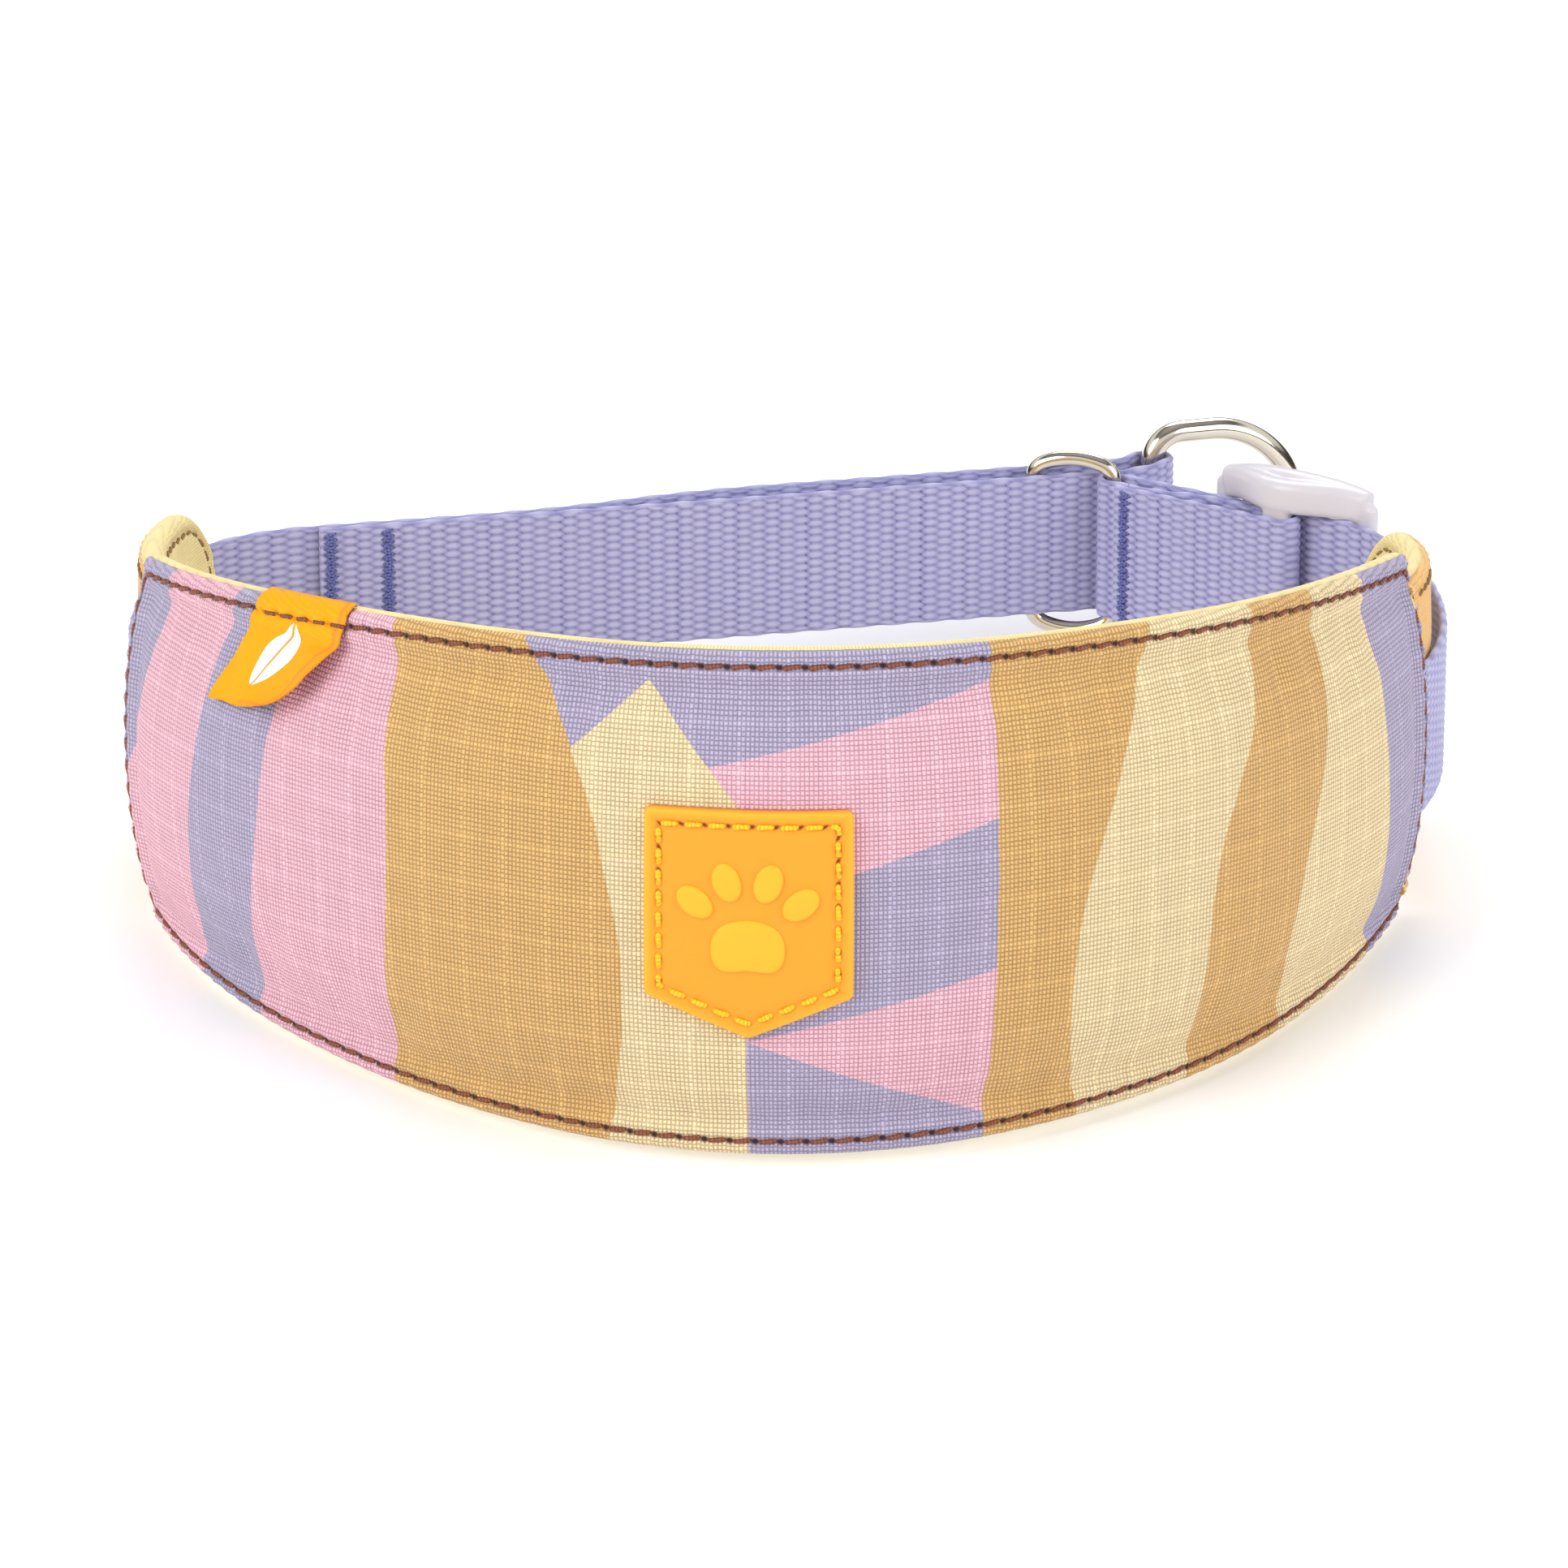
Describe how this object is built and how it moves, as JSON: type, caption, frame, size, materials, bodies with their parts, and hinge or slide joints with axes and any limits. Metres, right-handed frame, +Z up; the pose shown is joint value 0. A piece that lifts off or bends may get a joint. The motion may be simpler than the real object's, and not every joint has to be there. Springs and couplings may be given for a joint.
{
  "type": "martingale collar",
  "caption": "Martingale dog collar: wide padded printed front panel, control strap with a leash D-ring, and an adjustable neck strap running on an oval ring.",
  "frame": {"origin": "centre of the neck opening, half way up the collar's width", "axes": "+Z up with the collar resting on its edges, -Y out through the middle of the padded front panel, +X to the side of the adjustable neck strap"},
  "size_m": [0.1772, 0.1802, 0.0672],
  "materials": {
    "printed_canvas": "printed ripstop, matte",
    "padding": "soft foam and wadding",
    "lining": "smooth woven, matte",
    "tongue_canvas": "woven, matte",
    "topstitch_thread": "twisted thread",
    "badge_rubber": "moulded, satin",
    "badge_thread": "twisted thread",
    "tag_ribbon": "woven ribbon",
    "tongue_thread": "twisted thread",
    "webbing": "woven webbing, slight sheen",
    "webbing_thread": "twisted thread",
    "ring_metal": "warm nickel plate",
    "slider_plastic": "satin moulded"
  },
  "bodies": {
    "collar_band": {"panel_cover": "printed_canvas", "panel_padding": "padding", "panel_lining": "lining", "panel_topstitch": "topstitch_thread", "badge_patch": "badge_rubber", "badge_stitching": "badge_thread", "side_tag": "tag_ribbon", "right_tongue_cover": "tongue_canvas", "right_tongue_padding": "padding", "right_tongue_lining": "lining", "right_tongue_stitching": "tongue_thread", "neck_strap": "webbing"},
    "control_loop": {"control_strap": "webbing", "control_strap_bartacks": "webbing_thread", "left_tongue_cover": "tongue_canvas", "left_tongue_padding": "padding", "left_tongue_lining": "lining", "left_tongue_stitching": "tongue_thread"},
    "leash_ring": {"d_ring": "ring_metal"},
    "neck_ring": {"oval_ring": "ring_metal"},
    "adjuster": {"tri_glide_slider": "slider_plastic", "strap_tail": "webbing", "tail_bartack": "webbing_thread"}
  },
  "joints": [
    {"name": "cinch", "type": "slide", "parent": "collar_band", "child": "control_loop", "axis": [0.9681, 0.2487, -0.0292], "range_m": [0, 0.02]},
    {"name": "leash_ring_swing", "type": "hinge", "parent": "control_loop", "child": "leash_ring", "pos_m": [0.05252, 0.0859, -0.01009], "axis": [0, 0.1167, 0.9932], "range_deg": [-40, 80]},
    {"name": "neck_ring_tilt", "type": "hinge", "parent": "collar_band", "child": "neck_ring", "pos_m": [0.04676, 0.07472, -0.00878], "axis": [0, -0.1167, -0.9932], "range_deg": [0, 8]},
    {"name": "neck_size_adjust", "type": "slide", "parent": "collar_band", "child": "adjuster", "axis": [0.788, -0.6115, 0.0718], "range_m": [0, 0.003]}
  ]
}
